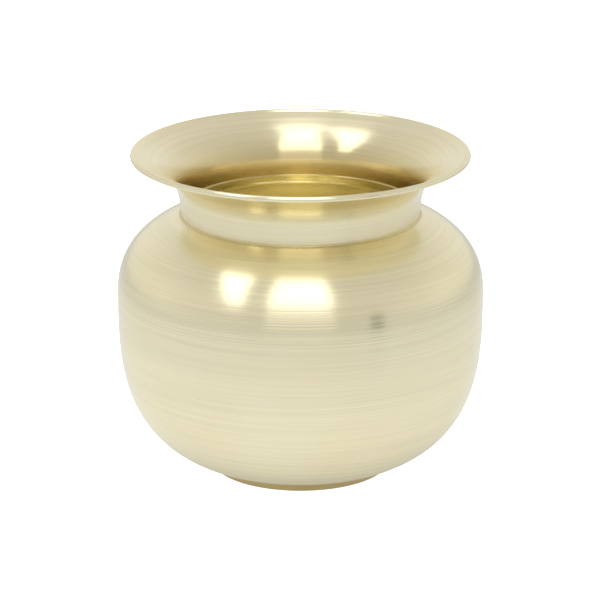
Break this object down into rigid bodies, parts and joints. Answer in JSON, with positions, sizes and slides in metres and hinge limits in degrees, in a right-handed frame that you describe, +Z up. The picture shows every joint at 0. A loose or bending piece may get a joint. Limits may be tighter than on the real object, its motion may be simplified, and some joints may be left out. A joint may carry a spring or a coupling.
{
  "type": "brass water pot",
  "caption": "Round-bellied spun brass pot with a flared trumpet mouth, short neck and small foot ring.",
  "frame": {"origin": "centre of the foot ring, on the surface that the pot stands on", "axes": "+Z up along the pot's axis of revolution, towards the mouth; the pot is the same in every direction round it"},
  "size_m": [0.127, 0.127, 0.113],
  "materials": {
    "brushed_brass": "fine circular satin brushing, pale yellow",
    "foot_brass": "satin, a little darker than the belly",
    "braze_metal": "dressed flush and brushed over"
  },
  "bodies": {
    "root": {"flared_mouth": "brushed_brass", "shoulder_shell": "brushed_brass", "bowl_shell": "brushed_brass", "foot_ring": "foot_brass", "neck_braze": "braze_metal", "girth_braze": "braze_metal", "foot_braze": "braze_metal"}
  },
  "joints": []
}
